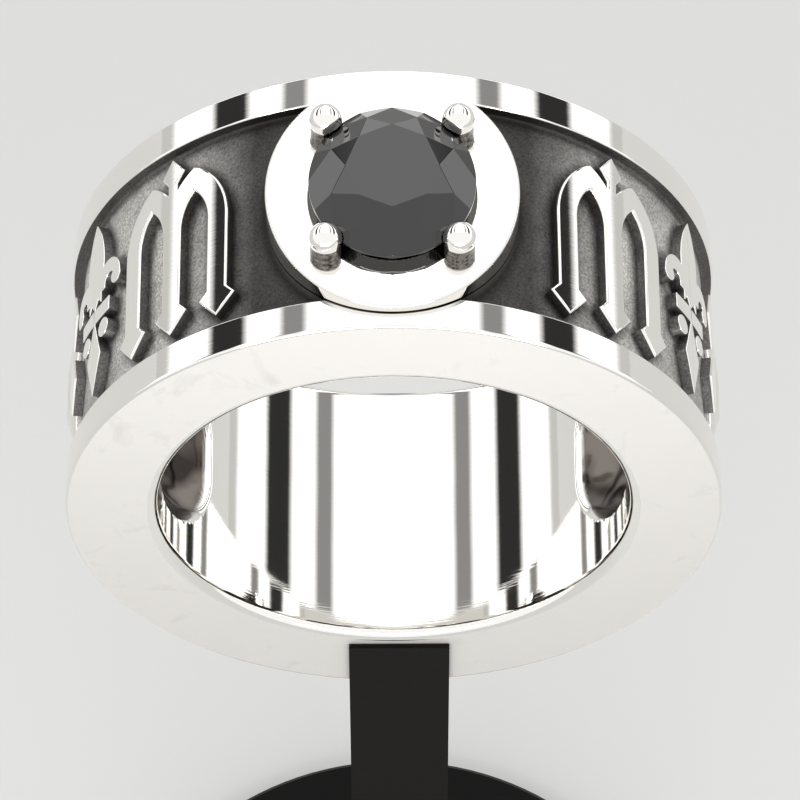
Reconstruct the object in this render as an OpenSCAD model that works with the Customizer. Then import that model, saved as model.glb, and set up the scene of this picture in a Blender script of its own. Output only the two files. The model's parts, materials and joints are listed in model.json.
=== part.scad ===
// Wide silver ring with a black brilliant on a polished oval plate, a raised gothic frieze in a
// sunk field and a raised skull on each flank, held upright by a plain black display stand.
// Millimetres, +Z up, the finger hole along Y, the front face towards -Y, and the origin on the
// floor under the middle of the stand's foot.

/* [Band] */
// Outside diameter over the rims
ring_d = 26.4; // [26.2:0.1:27]
// Diameter of the finger hole
bore_d = 19; // [18.8:0.1:19.4]
// Width of the band from face to face
band_w = 12.3; // [12.2:0.1:12.8]
// Width of each polished rim
rim_w = 1.45; // [1.3:0.05:1.5]
// Depth of the sunk field below the rims
field_depth = 0.5; // [0.4:0.05:0.6]
// Rounding of the two edges of the finger hole
bore_edge = 0.42; // [0.2:0.02:0.5]
// Rounding of the outer edges of the rims
rim_edge = 0.12; // [0.05:0.01:0.2]

/* [Plate and stone] */
// Width of the oval plate across the ring
plate_w = 9.9; // [9.6:0.1:10]
// Length of the plate along the finger hole, which takes it over both rims
plate_l = 11; // [10.8:0.1:11.2]
// Number of flats round the plate
plate_flats = 72; // [48:8:96]
// Height of the plate's top above the ring's centre
plate_top = 13.6; // [13.5:0.05:13.7]
// Width of the stone across the ring
stone_w = 6.5; // [6.4:0.05:6.6]
// Length of the stone along the finger hole
stone_l = 7.1; // [6.9:0.05:7.2]
// Height of the stone's girdle above the plate
girdle_lift = 0.4; // [0.35:0.01:0.5]
// Thickness of the girdle
girdle_t = 0.2; // [0.1:0.01:0.25]
// Height of the crown above the girdle
crown_h = 1.05; // [0.95:0.01:1.1]
// Depth of the pavilion below the girdle
pavilion_h = 2.8; // [2.7:0.01:2.85]
// Width of the table between opposite corners
table_w = 3.6; // [3.4:0.05:3.8]
// Clearance between the stone and the metal
stone_gap = 0.04; // [0.03:0.005:0.06]

/* [Prongs] */
// Distance of each prong from the middle across the ring
prong_x = 2.58; // [2.5:0.01:2.6]
// Distance of each prong from the middle along the finger hole
prong_y = 2.83; // [2.75:0.01:2.85]
// Radius of a prong's shaft
prong_r = 0.61; // [0.5:0.01:0.62]
// Radius of the ball on a prong
ball_r = 0.65; // [0.63:0.01:0.67]
// Height of the ball's middle above the plate
ball_lift = 0.76; // [0.7:0.01:0.8]

/* [Frieze] */
// Gap between the frieze's tops and the rims' height
frieze_sink = 0.04; // [0:0.01:0.1]
// Width of the bars of the twin lancets
bar_w = 0.95; // [0.85:0.05:1]
// Clear width of each light between the bars
light_w = 1.35; // [1.25:0.05:1.4]
// Height of the lancets' straight sides above and below the band's middle
spring = 0.6; // [0.4:0.05:0.7]
sill = -3.3; // [-3.4:0.05:-3.1]
// Angles of the twin lancets from the stone, on each side
window_angles = [41.5, 166];
// Angles of the fleurs-de-lis from the stone, on each side
fleur_angles = [65, 143.5];
// Angles of the lozenge pairs from the stone, on each side
lozenge_angles = [80, 129];
// Distance of each lozenge of a pair from the band's middle
pair_at = 1.55; // [1.5:0.05:1.7]
// Half width and half height of a lozenge of a pair
pair_half_w = 0.72; // [0.6:0.02:0.8]
pair_half_h = 1.35; // [1.2:0.05:1.45]

/* [Skulls] */
// Angle of each skull from the stone
skull_angle = 105; // [104:0.5:106]
// Height of the forehead's crest above the ring's centre
skull_crest = 13.35; // [13.3:0.01:13.4]
// Radius of the cranium's outline
cranium_r = 3.6; // [3.5:0.05:3.65]
// Radius of an eye socket
socket_r = 1.3; // [1.2:0.05:1.35]
// Distance of each socket from the skull's middle
socket_at = 1.45; // [1.4:0.01:1.5]
// Metal left behind the sockets
socket_wall = 0.95; // [0.85:0.05:1]
// Half height of the nose
nose_h = 0.6; // [0.5:0.05:0.65]
// Width of one tooth
tooth_w = 0.8; // [0.7:0.05:0.85]
// Radius of the hollow behind the skull
hollow_r = 3.5; // [3.4:0.05:3.6]
// Half length of the straight part of the hollow
hollow_half = 0.9; // [0.8:0.05:1]
// Distance of the hollow's floor from the ring's centre
hollow_floor = 12; // [11.9:0.05:12]

/* [Stand] */
// Width of the post
post_w = 4.2; // [4:0.1:4.4]
// Distance of the post's middle from the ring's, to the right
post_x = 0.2; // [0:0.05:0.3]
// Thickness of the tabs in front of and behind the band
tab_t = 0.2; // [0.2:0.05:0.6]
// Height of the foot's top below the ring's centre
ring_lift = 54.4; // [50:0.1:56]
// Radius of the round foot
foot_r = 13.8; // [13.5:0.1:14]
// Thickness of the foot
foot_t = 3; // [2.5:0.1:4]
// Depth of the post's socket in the foot
socket_depth = 1.6; // [1:0.1:2]
// Clearance round the post and round the band in its cradle
stand_gap = 0.05; // [0.03:0.01:0.08]

/* [Hidden] */
$fn = 96;
silver = [0.80, 0.80, 0.79];
black_stone = [0.10, 0.10, 0.11];
black_lacquer = [0.09, 0.09, 0.09];

ring_r = ring_d / 2;
bore_r = bore_d / 2;
half_w = band_w / 2;
field_r = ring_r - field_depth;
frieze_r = ring_r - frieze_sink;
ring_z = foot_t + ring_lift;

// Levels above the ring's centre, along the stone's axis
girdle_low = plate_top + girdle_lift;
girdle_high = girdle_low + girdle_t;
table_z = girdle_high + crown_h;
culet_z = girdle_low - pavilion_h;
ball_z = plate_top + ball_lift;

// Corners of the stone's facets
stone_r = stone_w / 2;
table_r = table_w / 2;
stretch = stone_l / stone_w;
crown_mid_r = 2.55;
pavilion_mid_r = 0.75;
half_step = cos(22.5);
crown_mid_z = table_z - crown_h * (crown_mid_r * half_step - table_r) / (stone_r - table_r);
pavilion_mid_z = girdle_low
    - pavilion_h * (stone_r - pavilion_mid_r * half_step) / stone_r;

// The seat follows the pavilion a little way off. It and the stone's clearance are turned forms,
// each used in the middle and on both sides of it, so far out that they hold the longer stone.
seat_gap = 0.17;
seat_r = stone_r * (plate_top - culet_z + seat_gap) / pavilion_h;
side_y = (stone_l - stone_w) / 2;

// Root of everything raised, inside the metal of the band, and a level above it all
root_z = 11.4;
above = 15;

// Middles of the eye sockets and the nose on a skull
socket_y = 0.55;
socket_z = 13.3;
nose_y = -1.05;

// Distance of the post's top below the finger hole, where its edge shows under the band
post_drop = 0.6;

// Length by which a cutting solid passes the face that it opens
past = 0.1;

// Points of an arc round a corner
function arc(centre, r, from, to, steps = 3) =
    [for (k = [0 : steps])
        let (a = from + (to - from) * k / steps)
        [centre[0] + r * cos(a), centre[1] + r * sin(a)]];

// Half of the band's section, outwards and along the axis
band_half = concat(
    arc([bore_r + bore_edge, half_w - bore_edge], bore_edge, 180, 90),
    arc([ring_r - rim_edge, half_w - rim_edge], rim_edge, 90, 0),
    [[ring_r, half_w - rim_w], [field_r, half_w - rim_w]]);

module band_blank() {
    mirrored = [for (k = [len(band_half) - 1 : -1 : 0]) [band_half[k][0], -band_half[k][1]]];
    rotate([-90, 0, 0]) rotate_extrude() polygon(concat(band_half, mirrored));
}

// Turns a child that stands on the stone's axis to another angle round the band
module round_band(angle) rotate([0, angle, 0]) children();

module both_sides(angles)
    for (angle = angles, side = [-1, 1]) round_band(side * angle) children();

module lozenge(at, half_width, half_height)
    translate(at) polygon([[half_width, 0], [0, half_height], [-half_width, 0], [0, -half_height]]);

// Pointed arch on straight jambs; reach is the distance of each arc's centre from the middle
module pointed_arch(width, reach, foot, spring) {
    r = width / 2 + reach;
    translate([-width / 2, foot]) square([width, spring - foot]);
    intersection() {
        translate([reach, spring]) circle(r);
        translate([-reach, spring]) circle(r);
        translate([-width / 2, spring]) square([width, r]);
    }
}

// Two lancet lights between three bars with lozenge feet and a pinnacle
module twin_lancet() {
    pitch = light_w + bar_w;
    outer = light_w + 2 * bar_w;
    foot_half_w = 0.85;
    foot_half_h = 0.9;
    pinnacle_foot = 1;
    pinnacle_top = 3.5;
    finial_half_w = 0.62;
    finial_half_h = 0.8;
    difference() {
        for (side = [-1, 1]) translate([side * pitch / 2, 0])
            pointed_arch(outer, outer / 2, sill, spring);
        for (side = [-1, 1]) translate([side * pitch / 2, 0])
            pointed_arch(light_w, outer / 2, sill - 1, spring);
    }
    for (bar = [-1, 0, 1]) lozenge([bar * pitch, sill], foot_half_w, foot_half_h);
    translate([-bar_w / 4, pinnacle_foot]) square([bar_w / 2, pinnacle_top - pinnacle_foot]);
    lozenge([0, pinnacle_top], finial_half_w, finial_half_h);
}

// Fleur-de-lis: tall middle petal, two curled side petals, a tie and a pointed foot
module fleur() {
    petal_r = 3.2;
    petal_mid = [2.4, 2];
    curl_mid = [1.2, 0.75];
    curl_r = 0.95;
    eye_mid = [1.32, 0.62];
    eye_r = 0.4;
    curl_foot_y = 0.5;
    gap_half_w = 0.75 * curl_r;
    tip_mid = [1.82, 0.62];
    tip_r = 0.36;
    bud_mid = [0.85, -1.35];
    bud_r = 0.42;
    tie_w = 2.7;
    tie_low = -0.75;
    tie_h = 0.65;
    foot_mid = [0, -2.4];
    foot_half_w = 0.66;
    foot_half_h = 1.75;
    intersection() {
        mirrored(1, petal_mid) circle(petal_r);
        mirrored(-1, petal_mid) circle(petal_r);
    }
    for (side = [-1, 1]) {
        difference() {
            mirrored(side, curl_mid) circle(curl_r);
            mirrored(side, eye_mid) circle(eye_r);
            mirrored(side, [eye_mid[0], curl_foot_y - curl_r])
                square([2 * gap_half_w, 2 * curl_r], center = true);
        }
        mirrored(side, tip_mid) circle(tip_r);
        mirrored(side, bud_mid) circle(bud_r);
    }
    translate([-tie_w / 2, tie_low]) square([tie_w, tie_h]);
    lozenge(foot_mid, foot_half_w, foot_half_h);
}

// Moves a child to a point on one side of the middle line
module mirrored(side, at) translate([side * at[0], at[1]]) children();

module lozenge_pair()
    for (side = [-1, 1]) lozenge([0, side * pair_at], pair_half_w, pair_half_h);

// The frieze's tops all lie on one cylinder, a hair below the rims
module frieze() {
    intersection() {
        rotate([90, 0, 0]) cylinder(r = frieze_r, h = band_w, center = true);
        union() {
            both_sides(window_angles) raised() twin_lancet();
            both_sides(fleur_angles) raised() fleur();
            both_sides(lozenge_angles) raised() lozenge_pair();
        }
    }
}

module raised() translate([0, 0, root_z]) linear_extrude(above - root_z) children();

// A skull seen from outside, upright with its forehead to the back of the ring
module skull() {
    cranium_at = [0, 1];
    dome_r = 11;
    cheek_at = [2.2, -1.4];
    cheek_r = 1.15;
    jaw_at = [1.2, -3.7];
    jaw_r = 0.8;
    jaw_half_w = jaw_at[0] + jaw_r;
    jaw_dome_r = 8;
    jaw_crest = 13.15;
    intersection() {
        raised() translate(cranium_at) circle(cranium_r);
        translate([cranium_at[0], cranium_at[1], skull_crest - dome_r]) sphere(dome_r);
    }
    intersection() {
        raised() {
            for (side = [-1, 1]) {
                mirrored(side, cheek_at) circle(cheek_r);
                mirrored(side, jaw_at) circle(jaw_r);
            }
            translate([-jaw_half_w, jaw_at[1]]) square([2 * jaw_half_w, cheek_at[1] - jaw_at[1]]);
            translate([-jaw_at[0], jaw_at[1] - jaw_r]) square([2 * jaw_at[0], 2 * jaw_r]);
        }
        translate([0, 0, jaw_crest - jaw_dome_r])
            rotate([90, 0, 0]) cylinder(r = jaw_dome_r, h = band_w, center = true);
    }
}

// Eye sockets, nose and the lines between the teeth
module skull_cuts() {
    nose_half_w = 0.6;
    nose_foot_z = 12.6;
    teeth_at = -3.15;
    teeth_h = 1.6;
    teeth_foot_z = 12.75;
    line_w = 0.18;
    row_half_w = 2.2 * tooth_w;
    cut_h = above - teeth_foot_z;
    for (side = [-1, 1]) translate([side * socket_at, socket_y, socket_z]) sphere(socket_r);
    translate([0, nose_y, nose_foot_z]) linear_extrude(above - nose_foot_z)
        polygon([[0, nose_h], [nose_half_w, -nose_h], [0, -nose_h / 2], [-nose_half_w, -nose_h]]);
    translate([-row_half_w, teeth_at - line_w / 2, teeth_foot_z]) cube([2 * row_half_w, line_w, cut_h]);
    for (gap = [-1.5 : 1 : 1.5])
        translate([gap * tooth_w - line_w / 2, teeth_at - teeth_h / 2, teeth_foot_z])
            cube([line_w, teeth_h, cut_h]);
}

// The hollow behind a skull, open to the bore, with the backs of the sockets and nose left in it
module skull_hollow() {
    nose_back_r = 1;
    nose_back_z = 12.3;
    difference() {
        translate([0, 0, hollow_floor - hollow_r]) {
            rotate([90, 0, 0]) cylinder(r = hollow_r, h = 2 * hollow_half, center = true);
            for (side = [-1, 1]) translate([0, side * hollow_half, 0]) sphere(hollow_r);
        }
        for (side = [-1, 1])
            translate([side * socket_at, socket_y, socket_z]) sphere(socket_r + socket_wall);
        translate([0, nose_y, nose_back_z]) sphere(nose_back_r);
    }
}

// Oval outline of flats, so short that it reads as a curve
module plate_outline()
    polygon([for (k = [0 : plate_flats - 1])
        let (a = 360 * k / plate_flats) [plate_w / 2 * cos(a), plate_l / 2 * sin(a)]]);

module plate()
    translate([0, 0, root_z]) linear_extrude(plate_top - root_z) plate_outline();

module prongs()
    for (across = [-1, 1], along = [-1, 1])
        translate([across * prong_x, along * prong_y, 0]) {
            translate([0, 0, root_z]) cylinder(r = prong_r, h = ball_z - root_z);
            translate([0, 0, ball_z]) sphere(ball_r);
        }

module three_along() for (side = [-1, 0, 1]) translate([0, side * side_y, 0]) children();

// Cones under the stone, open at the plate's top
module seat()
    three_along() rotate_extrude() polygon([[0, culet_z - seat_gap], [seat_r, plate_top],
        [seat_r, plate_top + past], [0, plate_top + past]]);

// The stone's outline grown by its clearance
module stone_space()
    three_along() rotate_extrude() polygon([
        [0, culet_z - stone_gap],
        [pavilion_mid_r + stone_gap, pavilion_mid_z - stone_gap],
        [stone_r + stone_gap, girdle_low - stone_gap / 2],
        [stone_r + stone_gap, girdle_high + stone_gap / 2],
        [crown_mid_r + stone_gap, crown_mid_z + stone_gap],
        [table_r + stone_gap, table_z + stone_gap],
        [0, table_z + stone_gap]]);

module band() {
    color(silver) translate([0, 0, ring_z]) difference() {
        union() {
            band_blank();
            frieze();
            plate();
            prongs();
            both_sides([skull_angle]) skull();
        }
        rotate([90, 0, 0]) cylinder(r = bore_r, h = band_w + 2 * past, center = true);
        seat();
        stone_space();
        both_sides([skull_angle]) {
            skull_cuts();
            skull_hollow();
        }
    }
}

// Ring of corners of the stone at one level
function corners(count, r, z, start) =
    [for (k = [0 : count - 1])
        let (a = start + k * 360 / count) [r * cos(a), stretch * r * sin(a), z]];

// Brilliant: table, 8 stars, 8 kites, 16 upper and 16 lower girdle facets, 8 pavilion mains
module stone() {
    table = 0;
    crown = 8;
    upper = 16;
    lower = 32;
    pavilion = 48;
    culet = 56;
    facets = concat(
        [[for (k = [7 : -1 : 0]) table + k]],
        [for (k = [0 : 7]) [table + k, table + (k + 1) % 8, crown + k]],
        [for (k = [0 : 7]) [table + k, crown + k, upper + 2 * k, crown + (k + 7) % 8]],
        [for (k = [0 : 7]) [crown + k, upper + 2 * k + 1, upper + 2 * k]],
        [for (k = [0 : 7]) [crown + k, upper + (2 * k + 2) % 16, upper + 2 * k + 1]],
        [for (j = [0 : 15]) [upper + j, upper + (j + 1) % 16, lower + (j + 1) % 16, lower + j]],
        [for (k = [0 : 7]) [pavilion + k, lower + 2 * k, lower + 2 * k + 1]],
        [for (k = [0 : 7]) [pavilion + k, lower + 2 * k + 1, lower + (2 * k + 2) % 16]],
        [for (k = [0 : 7]) [culet, pavilion + (k + 7) % 8, lower + 2 * k, pavilion + k]]);
    color(black_stone) translate([0, 0, ring_z]) polyhedron(points = concat(
        corners(8, table_r, table_z, 0),
        corners(8, crown_mid_r, crown_mid_z, 22.5),
        corners(16, stone_r, girdle_high, 0),
        corners(16, stone_r, girdle_low, 0),
        corners(8, pavilion_mid_r, pavilion_mid_z, 22.5),
        [[0, 0, culet_z]]), faces = facets);
}

// Levels of the stand, up from the floor
post_d = band_w + 2 * (stand_gap + tab_t);
post_foot = foot_t - socket_depth;
post_top = ring_z - bore_r - post_drop;

// Square post whose top is a cradle for the band, with a thin tab in front and behind
module stand_post() {
    color(black_lacquer) difference() {
        translate([post_x - post_w / 2, -post_d / 2, post_foot])
            cube([post_w, post_d, post_top - post_foot]);
        translate([0, 0, ring_z]) rotate([90, 0, 0])
            cylinder(r = ring_r + stand_gap, h = band_w + 2 * stand_gap, center = true);
    }
}

module stand_foot() {
    bevel = 0.25;
    color(black_lacquer) difference() {
        rotate_extrude() polygon([[0, 0], [foot_r - bevel, 0], [foot_r, bevel],
            [foot_r, foot_t - bevel], [foot_r - bevel, foot_t], [0, foot_t]]);
        translate([post_x - post_w / 2 - stand_gap, -post_d / 2 - stand_gap, post_foot - stand_gap])
            cube([post_w + 2 * stand_gap, post_d + 2 * stand_gap, socket_depth + stand_gap + past]);
    }
}

band();
stone();
stand_post();
stand_foot();
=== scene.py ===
# Wide silver ring with a black brilliant on a polished oval plate, a gothic frieze in a sunk and
# oxidised field and a raised skull on each flank, on its plain black display stand.
# The ring's pieces are made in millimetres from the ring's centre, with x across the ring, y along
# the finger hole and z towards the stone, and are then set at the ring's place, in metres.
import json
import math

import bmesh
import bpy
import numpy as np
from mathutils import Matrix, Vector, geometry


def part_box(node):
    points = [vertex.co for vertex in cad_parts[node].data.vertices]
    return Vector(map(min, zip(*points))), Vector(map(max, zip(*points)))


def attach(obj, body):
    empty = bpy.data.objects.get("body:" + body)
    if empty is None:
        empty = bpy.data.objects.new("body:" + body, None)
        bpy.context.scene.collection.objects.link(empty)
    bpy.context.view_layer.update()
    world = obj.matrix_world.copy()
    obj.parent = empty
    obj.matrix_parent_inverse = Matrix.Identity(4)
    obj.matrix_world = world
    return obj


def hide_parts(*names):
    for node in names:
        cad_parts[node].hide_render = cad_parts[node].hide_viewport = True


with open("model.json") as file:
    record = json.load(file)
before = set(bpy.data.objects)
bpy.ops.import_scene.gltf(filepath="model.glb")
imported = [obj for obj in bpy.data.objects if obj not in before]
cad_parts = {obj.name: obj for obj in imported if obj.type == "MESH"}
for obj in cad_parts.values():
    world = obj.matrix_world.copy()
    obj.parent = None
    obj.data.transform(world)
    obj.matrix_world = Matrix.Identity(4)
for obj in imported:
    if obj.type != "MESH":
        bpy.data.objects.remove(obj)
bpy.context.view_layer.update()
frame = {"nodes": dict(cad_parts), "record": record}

MM = 0.001

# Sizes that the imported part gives
finger_bore = next(m for m in frame["record"]["mounts"] if m["name"] == "finger_bore")
RING_Z = finger_bore["pos_m"][2] / MM
BORE_R = finger_bore["dims"]["r_mm"]
HALF_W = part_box("band")[1].y / MM
BORE_EDGE = HALF_W - finger_bore["dims"]["length_mm"] / 2
STONE_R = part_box("stone")[1].x / MM
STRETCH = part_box("stone")[1].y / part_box("stone")[1].x
CULET_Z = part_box("stone")[0].z / MM - RING_Z
TABLE_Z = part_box("stone")[1].z / MM - RING_Z

# Band
RING_R = 13.2
RIM_W = 1.45
RIM_EDGE = 0.12
RIM_LIP = 0.06
FIELD_R = 12.7
FIELD_FILLET = 0.14
WALL_Y = HALF_W - RIM_W

# Plate and prongs
PLATE_HALF_W = 4.95
PLATE_HALF_L = 5.5
PLATE_TOP = 13.6
PLATE_EDGE = 0.12
PLATE_ROOT = 10.6
UNDER_PLATE = 11.0
SEAT_GAP = 0.17
JOINT_W = 0.06
PRONG_X = 2.58
PRONG_Y = 2.83
PRONG_R = 0.61
BALL_R = 0.65
BALL_Z = 14.36
STONE_GAP = 0.04

# Stone
GIRDLE_LOW = 14.0
GIRDLE_HIGH = 14.2
TABLE_R = 1.8
CROWN_MID_R = 2.55
PAVILION_MID_R = 0.75

# Frieze
FRIEZE_R = 13.16
FRIEZE_ROOT = 12.5
FRIEZE_EDGE = 0.09
FRIEZE_REACH = 4.5
SHORTEST_EDGE = 0.06
STRIP_W = 0.45
BAR_W = 0.95
LIGHT_W = 1.35
SPRING = 0.6
SILL = -3.3
WINDOW_ANGLES = (41.5, 166)
FLEUR_ANGLES = (65, 143.5)
LOZENGE_ANGLES = (80, 129)

# Skulls and the hollows behind them
SKULL_ANGLE = 105
SKULL_ROOT = 11.97
UNDER_SKULL = 12.1
SKULL_REACH = 28
HOLLOW_AT = 8.5
HOLLOW_R = 3.5
HOLLOW_HALF = 0.9
HOLLOW_EDGE = 0.3
SOCKET_BACK_R = 2.25
SOCKET_BACK = (1.45, 0.55, 13.3)
NOSE_BACK_R = 1.0
NOSE_BACK = (0.0, -1.05, 12.3)

# Studio. Flags hang in the far half of the white tent, the same on the left and the right. Their
# middles and widths are in degrees, measured from straight up.
FLOOR_PALE = "#CCCCCA"
FLAGS = [
    {"middle": 35, "width": 10, "tone": "#909090"},
    {"middle": 60, "width": 15, "tone": "#303030"},
]
FLAG_EDGE = 2


def eased(low, high, value):
    """0 below low, 1 above high, and a smooth rise between them."""
    share = np.clip((value - low) / (high - low), 0, 1)
    return share * share * (3 - 2 * share)


def soft_min(a, b, width):
    """The lower of two heights, with the crease between them rounded over a width."""
    share = np.clip(0.5 + 0.5 * (b - a) / width, 0, 1)
    return b * (1 - share) + a * share - width * share * (1 - share)


def soft_max(a, b, width):
    return -soft_min(-a, -b, width)


def at_ring(points):
    """Points in millimetres from the ring's centre, as points of the frame in metres."""
    return (np.asarray(points, float) + (0, 0, RING_Z)) * MM


def round_ring(points, angle):
    """Points (along the band, across it, distance from the centre) set round the ring at an angle."""
    turn = math.radians(angle) + points[:, 0] / RING_R
    return np.stack([points[:, 2] * np.sin(turn), points[:, 1], points[:, 2] * np.cos(turn)], axis=1)


def away_from_axis(points):
    """Unit vectors that point from the finger hole's axis to each point."""
    flat = np.asarray(points, float) * (1, 0, 1)
    return flat / np.linalg.norm(flat, axis=-1, keepdims=True)


def solid(name, points, faces, finishes, face_finish=None, corner_normals=None, crease=35):
    """A smooth-shaded piece at the ring's place. A corner normal of zero is left to the mesh."""
    mesh = bpy.data.meshes.new(name)
    mesh.from_pydata(at_ring(points).tolist(), [], faces)
    for finish in finishes:
        mesh.materials.append(finish)
    if face_finish is not None:
        mesh.polygons.foreach_set("material_index", np.asarray(face_finish, np.int32))
    mesh.shade_smooth()
    mesh.set_sharp_from_angle(angle=math.radians(crease))
    if corner_normals is not None:
        mesh.normals_split_custom_set(np.asarray(corner_normals, float).tolist())
    piece = bpy.data.objects.new(name, mesh)
    bpy.context.scene.collection.objects.link(piece)
    return piece


def mark(piece, name, values):
    """Gives each point of a piece a value from 0 to 1 that its finish reads."""
    layer = piece.data.attributes.new(name, "FLOAT", "POINT")
    layer.data.foreach_set("value", np.asarray(values, np.float32).ravel())


def on_band(piece):
    """A piece of the silver band rides with the body and stands for the band's solid."""
    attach(piece, "root")
    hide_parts("band")
    return piece


def line(start, end, steps, part):
    """Rows along a straight stretch of a section, without its end."""
    shares = np.arange(steps) / steps
    return [(start[0] + (end[0] - start[0]) * s, start[1] + (end[1] - start[1]) * s, part)
            for s in shares]


def corner(centre, radius, start, end, steps, part):
    """Rows round a corner of a section, from one angle to another in degrees, without its end."""
    angles = [math.radians(start + (end - start) * k / steps) for k in range(steps)]
    return [(centre[0] + radius * math.cos(a), centre[1] + radius * math.sin(a), part) for a in angles]


def linear(hex_colour):
    """An sRGB hex colour such as #C0C0C0 as linear red, green, blue and alpha."""
    shares = [int(hex_colour[k:k + 2], 16) / 255 for k in (1, 3, 5)]
    return tuple(s / 12.92 if s <= 0.04045 else ((s + 0.055) / 1.055) ** 2.4 for s in shares) + (1,)


def add(tree, kind, settings=None, links=None):
    """Adds one shader node. Settings are its inputs or properties, and links give the sockets that
    it reads, or a node for that node's first output."""
    node = tree.nodes.new("ShaderNode" + kind)
    for key, value in (settings or {}).items():
        if isinstance(key, int) or key in node.inputs.keys():
            node.inputs[key].default_value = value
        else:
            setattr(node, key, value)
    for key, source in (links or {}).items():
        socket = source.outputs[0] if isinstance(source, bpy.types.Node) else source
        tree.links.new(socket, node.inputs[key])
    return node


def new_material(name):
    """An empty material, its node tree, and where the nodes find a point's place in metres."""
    material = bpy.data.materials.new(name)
    material.use_nodes = True
    tree = material.node_tree
    tree.nodes.clear()
    place = add(tree, "TexCoord").outputs["Object"]
    return material, tree, place


def plate_joint(tree, place):
    """The joint where the plate meets the rims, as a mask: patina stays in it, a hair's breadth."""
    from_middle = add(tree, "VectorMath", {"operation": "SUBTRACT", 1: (0, 0, RING_Z * MM)}, {0: place})
    to_oval = (1 / (PLATE_HALF_W * MM), 1 / (PLATE_HALF_L * MM), 0)
    oval = add(tree, "VectorMath", {"operation": "MULTIPLY", 1: to_oval}, {0: from_middle})
    oval_reach = add(tree, "VectorMath", {"operation": "LENGTH"}, {0: oval})
    at_oval = add(tree, "Math", {"operation": "COMPARE", 1: 1.0, 2: JOINT_W / PLATE_HALF_W},
                  {0: oval_reach.outputs["Value"]})
    round_axis = add(tree, "VectorMath", {"operation": "MULTIPLY", 1: (1, 0, 1)}, {0: from_middle})
    radius = add(tree, "VectorMath", {"operation": "LENGTH"}, {0: round_axis})
    at_rim = add(tree, "Math", {"operation": "COMPARE", 1: RING_R * MM, 2: JOINT_W * MM},
                 {0: radius.outputs["Value"]})
    parts = add(tree, "SeparateXYZ", links={0: from_middle})
    on_top = add(tree, "Math", {"operation": "GREATER_THAN", 1: 0.0}, {0: parts.outputs["Z"]})
    joint = add(tree, "Math", {"operation": "MULTIPLY"}, {0: at_oval, 1: at_rim})
    return add(tree, "Math", {"operation": "MULTIPLY"}, {0: joint, 1: on_top}).outputs[0]


def polished_silver():
    """Sterling silver polished on a felt wheel: a mirror with hair-fine lines round it. The wheel
    doesn't reach the hollows behind the skulls, which stay lumpy and glossy from the casting, and are
    painted dark as shade."""
    material, tree, place = new_material("polished_silver")
    as_cast = add(tree, "Attribute", {"attribute_name": "as_cast"})
    # Polishing lines about 0.08 mm apart across the band, and ten millimetres long round it
    across, along = 12 / MM, 0.1 / MM
    lines = add(tree, "Mapping", {"Scale": (along, across, along)}, {"Vector": place})
    grain = add(tree, "TexNoise", {"Scale": 1.0, "Detail": 2.0}, {"Vector": lines})
    # Hand-held work leaves the surface a little wavy, over about 3 mm
    wave = add(tree, "TexNoise", {"Scale": 0.33 / MM, "Detail": 1.0}, {"Vector": place})
    # Lumps of about 2 mm that the wax left; the dark between them is painted shade in the hollows, and
    # patina in the plate's joint
    lumps = add(tree, "TexNoise", {"Scale": 0.5 / MM, "Detail": 1.0}, {"Vector": place})
    high = add(tree, "MapRange", {"From Min": 0.4, "From Max": 0.65}, {"Value": lumps.outputs["Fac"]})
    patina_and_painted_light = add(tree, "Mix", {"data_type": "RGBA", 6: linear("#2E2A28"), 7: linear("#655F5A")},
                 {0: high})
    unpolished_and_shaded = add(tree, "Math", {"operation": "MAXIMUM"},
                     {0: as_cast.outputs["Fac"], 1: plate_joint(tree, place)})
    colour = add(tree, "Mix", {"data_type": "RGBA", 6: linear("#F5F3EF")},
                 {0: unpolished_and_shaded, 7: patina_and_painted_light.outputs[2]})
    fine = add(tree, "MapRange", {"To Min": 0.02, "To Max": 0.06}, {"Value": grain.outputs["Fac"]})
    rough = add(tree, "Math", {"operation": "MULTIPLY_ADD", 1: 0.1}, {0: as_cast.outputs["Fac"], 2: fine})
    lines_bump = add(tree, "Bump", {"Strength": 0.02, "Distance": 0.05 * MM},
                     {"Height": grain.outputs["Fac"]})
    wave_bump = add(tree, "Bump", {"Strength": 0.1, "Distance": 0.04 * MM},
                    {"Height": wave.outputs["Fac"], "Normal": lines_bump})
    cast_bump = add(tree, "Bump", {"Distance": 0.25 * MM},
                    {"Strength": as_cast.outputs["Fac"], "Height": lumps.outputs["Fac"],
                     "Normal": wave_bump})
    shader = add(tree, "BsdfPrincipled", {"Metallic": 1.0},
                 {"Base Color": colour.outputs[2], "Roughness": rough, "Normal": cast_bump})
    add(tree, "OutputMaterial", links={"Surface": shader})
    return material


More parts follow.
